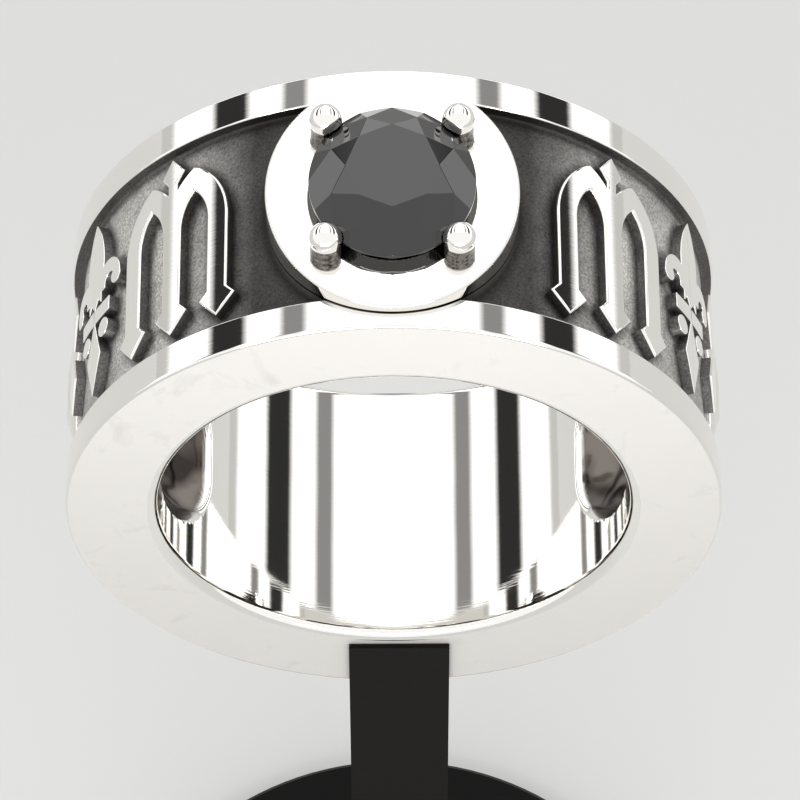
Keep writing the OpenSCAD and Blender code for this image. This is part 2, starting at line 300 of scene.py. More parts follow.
def prong_silver():
    """The same silver, polished at the tips. No tool gets at the shafts, which stay rough with mottled
    tarnish, and are painted dark as shade.
    """
    material, tree, place = new_material("prong_silver")
    parts = add(tree, "SeparateXYZ", links={0: place})
    # The polish ends over 0.1 mm at the ball's neck, and the shaft below it is painted dark as shade
    low, high = (RING_Z + BALL_Z - 0.22) * MM, (RING_Z + BALL_Z - 0.12) * MM
    dull = add(tree, "MapRange", {"From Min": low, "From Max": high, "To Min": 1.0, "To Max": 0.0},
               {"Value": parts.outputs["Z"]})
    # Mottles about 0.2 mm across
    mottle = add(tree, "TexNoise", {"Scale": 6 / MM, "Detail": 3.0}, {"Vector": place})
    light = add(tree, "MapRange", {"From Min": 0.35, "From Max": 0.75}, {"Value": mottle.outputs["Fac"]})
    stain_and_shade = add(tree, "Mix", {"data_type": "RGBA", 6: linear("#24211F"), 7: linear("#95908A")},
                {0: light})
    colour = add(tree, "Mix", {"data_type": "RGBA", 6: linear("#F5F3EF")}, {0: dull, 7: stain_and_shade.outputs[2]})
    rough = add(tree, "MapRange", {"To Min": 0.03, "To Max": 0.3}, {"Value": dull})
    shader = add(tree, "BsdfPrincipled", {"Metallic": 1.0},
                 {"Base Color": colour.outputs[2], "Roughness": rough})
    add(tree, "OutputMaterial", links={"Surface": shader})
    return material


def satin_silver():
    """The same silver, rubbed matt with fine abrasive: a soft white sheen with faint smudges."""
    material, tree, place = new_material("satin_silver")
    # Finger smudges 1 to 2 mm across
    smudge = add(tree, "TexNoise",
                 {"Scale": 0.5 / MM, "Detail": 6.0, "Roughness": 0.62, "Distortion": 0.6},
                 {"Vector": place})
    smudged = add(tree, "MapRange", {"From Min": 0.58, "From Max": 0.85},
                  {"Value": smudge.outputs["Fac"]})
    # Grain of a 400 grit, drawn as coarse as 0.05 mm so that it shows
    grit = add(tree, "TexNoise", {"Scale": 20 / MM, "Detail": 2.0}, {"Vector": place})
    colour = add(tree, "Mix", {"data_type": "RGBA", 6: linear("#D9D7D4"), 7: linear("#C6C4C1")},
                 {0: smudged})
    rough = add(tree, "MapRange", {"To Min": 0.68, "To Max": 0.8}, {"Value": smudge.outputs["Fac"]})
    bump = add(tree, "Bump", {"Strength": 0.12, "Distance": 0.01 * MM}, {"Height": grit.outputs["Fac"]})
    shader = add(tree, "BsdfPrincipled", {"Metallic": 1.0},
                 {"Base Color": colour.outputs[2], "Roughness": rough, "Normal": bump})
    add(tree, "OutputMaterial", links={"Surface": shader})
    return material


def oxidised_silver():
    """Silver blackened with liver of sulphur on a cast ground and brushed back: a grainy dull grey,
    black in the corners from patina and painted shade, and painted lighter towards both flanks as a sheen."""
    material, tree, place = new_material("oxidised_silver")
    sheltered = add(tree, "Attribute", {"attribute_name": "sheltered"})
    # Patina and painted shade: the field darkens within reach of walls and reliefs
    in_open = add(tree, "MapRange", {"To Min": 1.0, "To Max": 0.2}, {"Value": sheltered.outputs["Fac"]})
    # How far round the band from the stone a point is
    from_middle = add(tree, "VectorMath", {"operation": "SUBTRACT", 1: (0, 0, RING_Z * MM)}, {0: place})
    parts = add(tree, "SeparateXYZ", links={0: from_middle})
    side = add(tree, "Math", {"operation": "ABSOLUTE"}, {0: parts.outputs["X"]})
    turn = add(tree, "Math", {"operation": "ARCTAN2"}, {0: side, 1: parts.outputs["Z"]})
    # Painted sheen: the field is lighter from 25 to 46 degrees round from the stone, alike on both flanks
    flank_sheen = add(tree, "MapRange", {"From Min": math.radians(25), "From Max": math.radians(46),
                  "To Min": 0.06, "To Max": 0.62}, {"Value": turn})
    light = add(tree, "Math", {"operation": "MULTIPLY"}, {0: flank_sheen, 1: in_open})
    # Casting grain of 0.1 mm, and a patina that clouds over 1.5 mm
    grain = add(tree, "TexNoise", {"Scale": 10 / MM, "Detail": 2.0, "Roughness": 0.6}, {"Vector": place})
    speckle = add(tree, "MapRange", {"From Min": 0.3, "From Max": 0.7, "To Min": 0.55, "To Max": 1.45},
                  {"Value": grain.outputs["Fac"]})
    cloud = add(tree, "TexNoise", {"Scale": 0.7 / MM, "Detail": 3.0}, {"Vector": place})
    clouded = add(tree, "MapRange", {"From Min": 0.3, "From Max": 0.7, "To Min": 0.8, "To Max": 1.2},
                  {"Value": cloud.outputs["Fac"]})
    uneven = add(tree, "Math", {"operation": "MULTIPLY"}, {0: speckle, 1: clouded})
    share = add(tree, "Math", {"operation": "MULTIPLY"}, {0: light, 1: uneven})
    patina_and_painted_light = add(tree, "Mix", {"data_type": "RGBA", 6: linear("#242220"), 7: linear("#EFECE8")},
                 {0: share})
    rough = add(tree, "MapRange", {"To Min": 0.42, "To Max": 0.6}, {"Value": grain.outputs["Fac"]})
    bump = add(tree, "Bump", {"Strength": 0.5, "Distance": 0.03 * MM}, {"Height": grain.outputs["Fac"]})
    shader = add(tree, "BsdfPrincipled", {"Metallic": 1.0},
                 {"Base Color": patina_and_painted_light.outputs[2], "Roughness": rough, "Normal": bump})
    add(tree, "OutputMaterial", links={"Surface": shader})
    return material


def antiqued_silver():
    """Oxidised silver rubbed bright on its high places: the skulls gleam and keep dark hollows."""
    material, tree, place = new_material("antiqued_silver")
    tarnish = add(tree, "Attribute", {"attribute_name": "tarnish"})
    grain = add(tree, "TexNoise", {"Scale": 9 / MM, "Detail": 3.0}, {"Vector": place})
    # The patina's edge is broken up by the grain
    uneven = add(tree, "Math", {"operation": "MULTIPLY_ADD", 1: 0.5, 2: -0.25}, {0: grain.outputs["Fac"]})
    total = add(tree, "Math", {"operation": "ADD"}, {0: tarnish.outputs["Fac"], 1: uneven})
    dark = add(tree, "MapRange", {"From Min": 0.25, "From Max": 0.75}, {"Value": total})
    colour = add(tree, "Mix", {"data_type": "RGBA", 6: linear("#F0EDE8"), 7: linear("#2E2B29")},
                 {0: dark})
    rough = add(tree, "MapRange", {"To Min": 0.12, "To Max": 0.55}, {"Value": total})
    bump = add(tree, "Bump", {"Strength": 0.25, "Distance": 0.02 * MM}, {"Height": grain.outputs["Fac"]})
    shader = add(tree, "BsdfPrincipled", {"Metallic": 1.0},
                 {"Base Color": colour.outputs[2], "Roughness": rough, "Normal": bump})
    add(tree, "OutputMaterial", links={"Surface": shader})
    return material


def black_spinel():
    """Black spinel, cut and polished: one glassy black, whose flat facets mirror the studio, each
    from its own side, so that the eye tells them apart."""
    material, tree, place = new_material("black_spinel")
    # Faint polishing haze, in patches of about 1 mm
    haze = add(tree, "TexNoise", {"Scale": 1 / MM, "Detail": 3.0}, {"Vector": place})
    rough = add(tree, "MapRange", {"To Min": 0.01, "To Max": 0.035}, {"Value": haze.outputs["Fac"]})
    shader = add(tree, "BsdfPrincipled", {"IOR": 1.72, "Base Color": linear("#050505")},
                 {"Roughness": rough})
    add(tree, "OutputMaterial", links={"Surface": shader})
    return material


def black_lacquer():
    """Black stoving lacquer on steel, sprayed and baked: even, deep black with a soft gleam."""
    material, tree, place = new_material("black_lacquer")
    # Orange peel of about 0.6 mm
    peel = add(tree, "TexNoise", {"Scale": 1.6 / MM, "Detail": 2.0}, {"Vector": place})
    colour = add(tree, "Mix", {"data_type": "RGBA", 6: linear("#060505"), 7: linear("#0C0A09")},
                 {0: peel.outputs["Fac"]})
    rough = add(tree, "MapRange", {"To Min": 0.34, "To Max": 0.46}, {"Value": peel.outputs["Fac"]})
    bump = add(tree, "Bump", {"Strength": 0.15, "Distance": 0.01 * MM}, {"Height": peel.outputs["Fac"]})
    shader = add(tree, "BsdfPrincipled", {"IOR": 1.45, "Specular IOR Level": 0.08},
                 {"Base Color": colour.outputs[2], "Roughness": rough, "Normal": bump})
    add(tree, "OutputMaterial", links={"Surface": shader})
    return material


POLISHED = polished_silver()
SATIN = satin_silver()
OXIDISED = oxidised_silver()
ANTIQUED = antiqued_silver()
PRONG = prong_silver()
SPINEL = black_spinel()
LACQUER = black_lacquer()


def skull_outline(x, y):
    """Distance outside the skull's outline, in millimetres, and below zero inside it."""
    side = np.abs(x)
    cranium_y, cranium_r = 1.0, 3.6
    cheek_x, cheek_y, cheek_r = 2.15, -1.4, 1.1
    jaw_half_w, jaw_half_h, jaw_y, jaw_r = 1.25, 0.95, -2.9, 0.65
    cheek_blend, jaw_blend = 0.6, 0.7
    cranium = np.hypot(x, y - cranium_y) - cranium_r
    cheeks = np.hypot(side - cheek_x, y - cheek_y) - cheek_r
    past_side = np.maximum(side - jaw_half_w, 0)
    past_end = np.maximum(np.abs(y - jaw_y) - jaw_half_h, 0)
    jaw = np.hypot(past_side, past_end) - jaw_r
    return soft_min(soft_min(cranium, cheeks, cheek_blend), jaw, jaw_blend)


def hollow_wall(turn, y):
    """Distance from the ring's centre of the hollow behind a skull, at an angle from its middle."""
    past_straight = np.maximum(np.abs(y) - HOLLOW_HALF, 0)
    reach = HOLLOW_R ** 2 - past_straight ** 2 - (HOLLOW_AT * np.sin(turn)) ** 2
    wall = HOLLOW_AT * np.cos(turn) + np.sqrt(np.maximum(reach, 0))
    for radius, (x, up, out) in ((SOCKET_BACK_R, SOCKET_BACK), (NOSE_BACK_R, NOSE_BACK)):
        for side in (-1, 1):
            ahead = side * x * np.sin(turn) + out * np.cos(turn)
            inside = radius ** 2 - (y - up) ** 2 - x ** 2 - out ** 2 + ahead ** 2
            back = np.where(inside > 0, ahead - np.sqrt(np.maximum(inside, 0)), out)
            wall = soft_min(wall, back, 0.25)
    return soft_max(np.full_like(wall, BORE_R), wall, HOLLOW_EDGE)


def band_section():
    """Rows (distance from the axis, place along it, part) round the band's closed section."""
    bore_y = HALF_W - BORE_EDGE
    rim_y = HALF_W - RIM_EDGE
    half = (
        line((BORE_R, 0), (BORE_R, bore_y), 42, "bore")
        + corner((BORE_R + BORE_EDGE, bore_y), BORE_EDGE, 180, 90, 8, "bore_edge")
        + line((BORE_R + BORE_EDGE, HALF_W), (RING_R - RIM_EDGE, HALF_W), 3, "face")
        + corner((RING_R - RIM_EDGE, rim_y), RIM_EDGE, 90, 0, 5, "rim_edge")
        + line((RING_R, rim_y), (RING_R, WALL_Y + RIM_LIP), 2, "rim")
        + corner((RING_R - RIM_LIP, WALL_Y + RIM_LIP), RIM_LIP, 0, -90, 3, "rim_edge")
        + line((RING_R - RIM_LIP, WALL_Y), (FIELD_R + FIELD_FILLET, WALL_Y), 1, "wall")
        + corner((FIELD_R + FIELD_FILLET, WALL_Y - FIELD_FILLET), FIELD_FILLET, 90, 180, 3, "wall")
        + line((FIELD_R, WALL_Y - FIELD_FILLET), (FIELD_R, 0), 18, "field"))
    # The other half is the mirror image, read backwards, so each stretch keeps its own part
    ends = [(r, y) for r, y, _ in half] + [(FIELD_R, 0)]
    parts = [part for _, _, part in half]
    back = [(ends[k + 1][0], -ends[k + 1][1], parts[k]) for k in range(len(parts) - 1, -1, -1)]
    return half + back


def band_angles():
    """Angles of the columns round the band, closer together across the skulls and their hollows."""
    plain, fine = 1.25, 0.4
    stops = [-180, -SKULL_ANGLE - SKULL_REACH, -SKULL_ANGLE + SKULL_REACH,
             SKULL_ANGLE - SKULL_REACH, SKULL_ANGLE + SKULL_REACH, 180]
    steps = [plain, fine, plain, fine, plain]
    stretches = [np.linspace(a, b, round((b - a) / step), endpoint=False)
                 for a, b, step in zip(stops, stops[1:], steps)]
    return np.radians(np.concatenate(stretches))


def away_from_lines(x, y, lines):
    """Distance of each point from the nearest of some straight lines, given by their ends."""
    nearest = np.full(x.shape, np.inf)
    for start, end in lines:
        step = end - start
        share = np.clip(((x - start[0]) * step[0] + (y - start[1]) * step[1]) / (step @ step), 0, 1)
        away = np.hypot(x - start[0] - share * step[0], y - start[1] - share * step[1])
        nearest = np.minimum(nearest, away)
    return nearest


def make_band(motifs):
    """The band's shell: rims, faces and bore, the sunk field, and the hollows behind the skulls."""
    rows = band_section()
    angles = band_angles()
    parts = np.array([part for _, _, part in rows])
    turn, radius = np.meshgrid(angles, [r for r, _, _ in rows], indexing="ij")
    _, y = np.meshgrid(angles, [row[1] for row in rows], indexing="ij")
    in_bore = np.isclose(radius, BORE_R)
    in_field = np.isclose(radius, FIELD_R)
    # Room on the field before something that stands up from it
    room = np.maximum(WALL_Y - np.abs(y), 0)
    for side in (-1, 1):
        off = turn - side * math.radians(SKULL_ANGLE)
        near = np.abs(off) < math.radians(SKULL_REACH)
        here = in_bore & near
        radius[here] = hollow_wall(side * off[here], y[here])
        here = in_field & near
        # The field drops out of sight under the skull, which is a piece of its own
        outside = skull_outline(RING_R * off[here], y[here])
        radius[here] = FIELD_R - (FIELD_R - UNDER_SKULL) * eased(0.15, 0.5, -outside)
        room[here] = np.minimum(room[here], np.maximum(outside, 0))
    # It drops under the plate too, clear of the stone's seat
    here = in_field & (np.cos(turn) > 0)
    from_middle = np.hypot(FIELD_R * np.sin(turn[here]) / PLATE_HALF_W, y[here] / PLATE_HALF_L)
    outside = PLATE_HALF_W * (from_middle - 1)
    radius[here] = FIELD_R - (FIELD_R - UNDER_PLATE) * eased(0.35, 0.75, -outside)
    room[here] = np.minimum(room[here], np.maximum(outside, 0))
    for lines, angle in motifs:
        along = RING_R * (turn - math.radians(angle))
        here = in_field & (np.abs(along) < FRIEZE_REACH)
        room[here] = np.minimum(room[here], away_from_lines(along[here], y[here], lines))
    points = np.stack([radius * np.sin(turn), y, radius * np.cos(turn)], axis=-1)

    count_a, count_r = turn.shape
    column, row = np.meshgrid(np.arange(count_a), np.arange(count_r), indexing="ij")
    ahead, above = (column + 1) % count_a, (row + 1) % count_r
    corners = np.stack([column * count_r + row, column * count_r + above,
                        ahead * count_r + above, ahead * count_r + row], axis=-1).reshape(-1, 4)
    points = points.reshape(-1, 3)
    face_part = np.tile(parts, count_a)
    finish = np.select([face_part == "face", np.isin(face_part, ("wall", "field"))], [1, 2], 0)

    # Mirror-flat stretches get their true normals, so that reflections run straight
    outward = away_from_axis(points)
    normals = np.zeros((len(corners), 4, 3))
    normals[face_part == "rim"] = outward[corners[face_part == "rim"]]
    plain_bore = (face_part == "bore") & np.all(np.isclose(radius.reshape(-1)[corners], BORE_R), axis=1)
    normals[plain_bore] = -outward[corners[plain_bore]]
    flat = face_part == "face"
    normals[flat] = np.sign(points[corners[flat]][..., 1:2]) * (0, 1, 0)
    finishes = [POLISHED, SATIN, OXIDISED]
    band = solid("band_shell", points, corners.tolist(), finishes, finish, normals.reshape(-1, 3))
    # Painted shade: the hollows behind the skulls darken, and turn rough and lumpy as cast, the deeper the
    # more
    mark(band, "as_cast", np.where(in_bore, eased(0.1, 0.3, radius - BORE_R), 0))
    # Patina and painted shade: the field darkens near the rim walls, the frieze, the skulls and the plate
    mark(band, "sheltered", 1 - eased(0, 0.45, room))
    return on_band(band)


def lathe(rows, count, centre=(0, 0), longer=()):
    """A closed turned form round an upright axis, from rows (distance from the axis, height).

    longer gives, for each row, by how much its reach along the finger hole is greater.
    """
    form = bmesh.new()
    turns = [2 * math.pi * k / count for k in range(count)]
    rings = []
    for (r, z), extra in zip(rows, longer or [0] * len(rows)):
        if r == 0:
            rings.append([form.verts.new((centre[0], centre[1], z))] * count)
        else:
            rings.append([form.verts.new((centre[0] + r * math.cos(a),
                                          centre[1] + (r + extra) * math.sin(a), z)) for a in turns])
    for low, high in zip(rings, rings[1:]):
        for k in range(count):
            ring = [low[k], low[(k + 1) % count], high[(k + 1) % count], high[k]]
            unique = list(dict.fromkeys(ring))
            form.faces.new(unique)
    bmesh.ops.recalc_face_normals(form, faces=form.faces)
    return form


def solid_from(form, name, finishes, crease=35):
    """A piece made from a bmesh form in millimetres."""
    form.verts.index_update()
    points = [tuple(v.co) for v in form.verts]
    faces = [[v.index for v in f.verts] for f in form.faces]
    form.free()
    return solid(name, points, faces, finishes, crease=crease)


def arc_rows(centre, radius, start, end, steps):
    """Rows (distance from the axis, height) round an arc, with its end."""
    angles = [math.radians(start + (end - start) * k / steps) for k in range(steps + 1)]
    return [(centre[0] + radius * math.cos(a), centre[1] + radius * math.sin(a)) for a in angles]


def make_plate():
    """The oval plate with its rounded edge and the conical seat under the stone."""
    slope = STONE_R / (GIRDLE_LOW - CULET_Z)
    seat_r = slope * (PLATE_TOP - CULET_Z + SEAT_GAP)
    seat_edge = 0.05
    rows = [(0, CULET_Z - SEAT_GAP), (seat_r - seat_edge, PLATE_TOP - seat_edge / slope)]
    rows += arc_rows((seat_r + seat_edge, PLATE_TOP - seat_edge), seat_edge, 150, 90, 3)
    longer = [r * (STRETCH - 1) for r, _ in rows]
    rim = arc_rows((PLATE_HALF_W - PLATE_EDGE, PLATE_TOP - PLATE_EDGE), PLATE_EDGE, 90, 0, 6)
    rim += [(PLATE_HALF_W, PLATE_ROOT), (0, PLATE_ROOT)]
    longer += [PLATE_HALF_L - PLATE_HALF_W] * len(rim)
    plate = solid_from(lathe(rows + rim, 256, longer=longer), "plate", [POLISHED])
    weigh_normals(plate)
    return on_band(plate)


def weigh_normals(piece):
    """Large flat faces keep their true normals beside small rounded edges."""
    modifier = piece.modifiers.new("even_shading", "WEIGHTED_NORMAL")
    modifier.keep_sharp = True


def make_prongs():
    """Four round prongs with ball tips, each notched for the stone."""
    root, shoulder = PLATE_TOP - 0.6, PLATE_TOP - 0.02
    neck = math.degrees(math.acos(PRONG_R / BALL_R))
    prong_rows = [(0, root), (PRONG_R, root), (PRONG_R, shoulder)]
    prong_rows += arc_rows((0, BALL_Z), BALL_R, -neck, 84, 16)[:-1] + [(0, BALL_Z + BALL_R)]
    gap = STONE_GAP
    space_rows = [(0, CULET_Z - gap), (STONE_R + gap, GIRDLE_LOW - gap / 2),
                  (STONE_R + gap, GIRDLE_HIGH + gap / 2), (TABLE_R + gap, TABLE_Z + gap),
                  (0, TABLE_Z + gap)]
    longer = [r * (STRETCH - 1) for r, _ in space_rows]
    space = solid_from(lathe(space_rows, 128, longer=longer), "stone_space", [])
    number = 0
    for across in (-1, 1):
        for along in (-1, 1):
            number += 1
            form = lathe(prong_rows, 48, (across * PRONG_X, along * PRONG_Y))
            prong = solid_from(form, f"prong_{number}", [PRONG])
            notch = prong.modifiers.new("notch", "BOOLEAN")
            notch.operation = "DIFFERENCE"
            notch.solver = "EXACT"
            notch.object = space
            apply_modifiers(prong)
            on_band(prong)
    bpy.data.objects.remove(space)


def apply_modifiers(piece):
    """The piece keeps the mesh that its modifiers make."""
    bpy.context.view_layer.update()
    graph = bpy.context.evaluated_depsgraph_get()
    made = bpy.data.meshes.new_from_object(piece.evaluated_get(graph))
    piece.modifiers.clear()
    piece.data = made


def round_points(centre, radius, spacing=0.14):
    count = max(16, math.ceil(2 * math.pi * radius / spacing))
    turns = [2 * math.pi * k / count for k in range(count)]
    return [(centre[0] + radius * math.cos(a), centre[1] + radius * math.sin(a)) for a in turns]


def lozenge(centre, half_w, half_h):
    x, y = centre
    return [(x + half_w, y), (x, y + half_h), (x - half_w, y), (x, y - half_h)]


def box_points(low, high):
    return [low, (high[0], low[1]), high, (low[0], high[1])]


def pointed_arch(middle, width, reach, foot, spring, steps=14):
    """Straight jambs and two arcs that meet in a point; reach sets how sharp it is."""
    radius = width / 2 + reach
    top = math.acos(reach / radius)
    right = [(middle - reach + radius * math.cos(top * k / steps),
              spring + radius * math.sin(top * k / steps)) for k in range(steps + 1)]
    left = [(2 * middle - x, y) for x, y in reversed(right[:-1])]
    return [(middle + width / 2, foot)] + right + left + [(middle - width / 2, foot)]


def twin_lancet():
    """Named outlines of two lancet lights between three bars, and what of them is metal."""
    pitch = LIGHT_W + BAR_W
    outer = LIGHT_W + 2 * BAR_W
    shapes = {}
    for side, middle in (("left", -pitch / 2), ("right", pitch / 2)):
        shapes[f"arch_{side}"] = pointed_arch(middle, outer, outer / 2, SILL, SPRING)
        shapes[f"light_{side}"] = pointed_arch(middle, LIGHT_W, outer / 2, SILL - 1, SPRING)
    for number, middle in enumerate((-pitch, 0, pitch)):
        shapes[f"foot_{number}"] = lozenge((middle, SILL), 0.85, 0.9)
    shapes["pinnacle"] = box_points((-BAR_W / 4, 1), (BAR_W / 4, 3.5))
    shapes["finial"] = lozenge((0, 3.5), 0.62, 0.8)

    def metal(inside):
        arch = inside & {"arch_left", "arch_right"} and not inside & {"light_left", "light_right"}
        return bool(arch or inside & {"foot_0", "foot_1", "foot_2", "pinnacle", "finial"})

    return shapes, metal


def fleur():
    """Named outlines of a fleur-de-lis, and what of them is metal."""
    shapes = {
        "petal_left": round_points((-2.4, 2), 3.2),
        "petal_right": round_points((2.4, 2), 3.2),
        "tie": box_points((-1.35, -0.75), (1.35, -0.1)),
        "foot": lozenge((0, -2.4), 0.66, 1.75),
    }
    for name, side in (("left", -1), ("right", 1)):
        shapes[f"curl_{name}"] = round_points((side * 1.2, 0.75), 0.95)
        shapes[f"eye_{name}"] = round_points((side * 1.32, 0.62), 0.4)
        shapes[f"gap_{name}"] = box_points((side * 1.32 - 0.7125, -1.4), (side * 1.32 + 0.7125, 0.5))
        shapes[f"tip_{name}"] = round_points((side * 1.82, 0.62), 0.36)
        shapes[f"bud_{name}"] = round_points((side * 0.85, -1.35), 0.42)

    def metal(inside):
        if {"petal_left", "petal_right"} <= inside:
            return True
        for name in ("left", "right"):
            if f"curl_{name}" in inside and not inside & {f"eye_{name}", f"gap_{name}"}:
                return True
        return bool(inside & {"tie", "foot", "tip_left", "tip_right", "bud_left", "bud_right"})

    return shapes, metal


def lozenge_pair():
    shapes = {"upper": lozenge((0, 1.55), 0.72, 1.35), "lower": lozenge((0, -1.55), 0.72, 1.35)}
    return shapes, bool


def raised_motif(shapes, metal, small_parts):
    """A motif as a slab with a rounded top edge, cut into strips that can bend round the band. One
    with small parts has its edge held back to what they leave room for."""
    names = list(shapes)
    outline, loops = [], []
    for name in names:
        loops.append([len(outline) + k for k in range(len(shapes[name]))])
        outline += [Vector(p) for p in shapes[name]]
    near = 1e-4
    points, _, triangles, _, _, origins = geometry.delaunay_2d_cdt(outline, [], loops, 1, near)
    kept = [t for t, inside in zip(triangles, origins) if metal({names[k] for k in inside})]

    form = bmesh.new()
    verts = [form.verts.new((p.x, p.y, FRIEZE_ROOT)) for p in points]
    for triangle in kept:
        form.faces.new([verts[k] for k in triangle])
    loose = [v for v in form.verts if not v.link_faces]
    bmesh.ops.delete(form, geom=loose, context="VERTS")
    bmesh.ops.recalc_face_normals(form, faces=form.faces)
    bmesh.ops.dissolve_limit(form, angle_limit=math.radians(0.5), verts=form.verts, edges=form.edges,
                             use_dissolve_boundaries=False)
    bmesh.ops.remove_doubles(form, verts=form.verts, dist=SHORTEST_EDGE)
    lines = [[np.array(v.co.xy) for v in e.verts] for e in form.edges if e.is_boundary]
    raised = bmesh.ops.extrude_face_region(form, geom=form.faces[:], use_keep_orig=True)["geom"]
    top = [v for v in raised if isinstance(v, bmesh.types.BMVert)]
    bmesh.ops.translate(form, vec=(0, 0, FRIEZE_R - FRIEZE_ROOT), verts=top)
    bmesh.ops.recalc_face_normals(form, faces=form.faces)
    height = FRIEZE_R - near
    edges = [e for e in form.edges if min(v.co.z for v in e.verts) > height
             and any(abs(f.normal.z) < 0.5 for f in e.link_faces)]
    bmesh.ops.bevel(form, geom=edges, offset=FRIEZE_EDGE, segments=3, profile=0.5, affect="EDGES",
                    clamp_overlap=small_parts)
    reach = max(abs(v.co.x) for v in form.verts)
    for k in range(-int(reach / STRIP_W), int(reach / STRIP_W) + 1):
        bmesh.ops.bisect_plane(form, geom=form.verts[:] + form.edges[:] + form.faces[:],
                               plane_co=(k * STRIP_W, 0, 0), plane_no=(1, 0, 0), dist=near)
    form.verts.index_update()
    points = np.array([v.co for v in form.verts], float)
    faces = [[v.index for v in f.verts] for f in form.faces]
    form.free()
    return points, faces, lines


def make_frieze():
    """Twin lancets, fleurs-de-lis and lozenge pairs, on both sides of the ring. Gives the outline
    and the angle of each one."""
    motifs = (
        ("lancet", twin_lancet(), WINDOW_ANGLES, False),
        ("fleur", fleur(), FLEUR_ANGLES, True),
        ("lozenges", lozenge_pair(), LOZENGE_ANGLES, False),
    )
    placed = []
    near = 1e-4
    for name, (shapes, metal), angles, small_parts in motifs:
        points, faces, lines = raised_motif(shapes, metal, small_parts)
        flat_top = [all(points[k, 2] > FRIEZE_R - near for k in face) for face in faces]
        # The top and its rounded edge are polished, and the walls under them stay oxidised
        is_wall = [any(points[k, 2] < FRIEZE_R - FRIEZE_EDGE - near for k in face) for face in faces]
        number = 0
        for angle in angles:
            for side in (-1, 1):
                number += 1
                bent = round_ring(points, side * angle)
                outward = away_from_axis(bent)
                normals = np.concatenate([outward[face] if top else np.zeros((len(face), 3))
                                          for face, top in zip(faces, flat_top)])
                piece = solid(f"{name}_{number}", bent, faces, [POLISHED, OXIDISED], is_wall, normals)
                # Patina and painted shade: the oxidised walls of the frieze are kept dark
                mark(piece, "sheltered", np.full(len(bent), 0.85))
                on_band(piece)
                placed.append((lines, side * angle))
    return placed


# Soft rises and dents of the skull in mm: middle across and up, reach across and up, and height.
# Each one that lies off the middle line has its mirror image on the other side.
SKULL_FORMS = [
    {"form": "brow", "x": 1.35, "y": 1.78, "reach_x": 0.95, "reach_y": 0.32, "rise": 0.13},
    {"form": "nasal bone", "x": 0.0, "y": 0.35, "reach_x": 0.28, "reach_y": 0.75, "rise": 0.10},
    {"form": "cheekbone", "x": 2.35, "y": -0.85, "reach_x": 0.75, "reach_y": 0.36, "rise": 0.17},
    {"form": "upper jaw", "x": 0.0, "y": -2.35, "reach_x": 1.25, "reach_y": 0.7, "rise": 0.10},
    {"form": "under the cheek", "x": 2.05, "y": -2.15, "reach_x": 0.55, "reach_y": 0.5, "rise": -0.3},
    {"form": "temple", "x": 3.05, "y": 1.35, "reach_x": 0.45, "reach_y": 0.75, "rise": -0.16},
    {"form": "forehead", "x": 0.95, "y": 2.9, "reach_x": 1.1, "reach_y": 0.8, "rise": 0.05},
    {"form": "chin", "x": 0.45, "y": -4.1, "reach_x": 0.5, "reach_y": 0.3, "rise": 0.1},
]


def skull_height(x, y):
    """Height of the skull's face above the field, in millimetres."""
    inner = -skull_outline(x, y)
    side = np.abs(x)
    edge = 1.15
    share = np.clip(inner / edge, 0, 1)
    crest = 0.5 + 0.12 * eased(-3.5, 0.5, y)
    height = crest * np.sqrt(1 - (1 - share) ** 2)
    for form in SKULL_FORMS:
        for sign in ((1,) if form["x"] == 0 else (-1, 1)):
            away = ((x - sign * form["x"]) / form["reach_x"]) ** 2 + ((y - form["y"]) / form["reach_y"]) ** 2
            height = height + form["rise"] * np.exp(-away) * share
    height = height + teeth(x, y) * eased(0.1, 0.4, inner)

    # Eye sockets, drooping a little outwards
    droop = math.radians(14)
    off_x, off_y = side - 1.42, y - 0.55
    across = off_x * math.cos(droop) - off_y * math.sin(droop)
    up = off_x * math.sin(droop) + off_y * math.cos(droop)
    power = 2.5
    reach = ((np.abs(across) / 1.08) ** power + (np.abs(up) / 0.98) ** power) ** (1 / power)
    height = height + 0.08 * np.exp(-((reach - 1.2) / 0.16) ** 2)
    socket = 1 - eased(0.7, 1.12, reach)
    height = height * (1 - socket) - 0.47 * socket

    # Two nasal openings that meet in a point above
    nose_x, nose_y = side - 0.16 - 0.16 * (-1.05 - y), y + 1.15
    reach = np.hypot(nose_x / 0.26, nose_y / 0.62)
    opening = 1 - eased(0.65, 1.15, reach)
    height = height * (1 - opening) - 0.3 * opening
    return np.where(inner < 0, np.maximum(inner * 2.5, -0.3), height)


def teeth(x, y):
    """Two rows of teeth that curve up at the sides, with a dark line between the rows."""
    rows_meet = -3.12
    tooth_w = 0.42
    level = y - rows_meet - 0.055 * x ** 2
    across = np.abs((x / tooth_w) % 1 - 0.5) * 2
    tooth = 1 - across ** 4
    in_row = np.exp(-((np.abs(level) - 0.31) / 0.24) ** 4)
    reach = 1 - eased(1.5, 1.85, np.abs(x))
    gap = np.exp(-(level / 0.06) ** 2)
    return reach * in_row * (0.19 * tooth - 0.07) - reach * gap * 0.16


def blurred(height, reach):
    """The height field averaged over a square window, by running sums."""
    for axis in (0, 1):
        padded = np.concatenate([np.repeat(height.take([0], axis), reach, axis), height,
                                 np.repeat(height.take([-1], axis), reach, axis)], axis)
        total = np.cumsum(padded, axis)
        total = np.concatenate([np.zeros_like(total.take([0], axis)), total], axis)
        span = 2 * reach + 1
        count = height.shape[axis]
        height = (total.take(range(span, span + count), axis) - total.take(range(count), axis)) / span
    return height


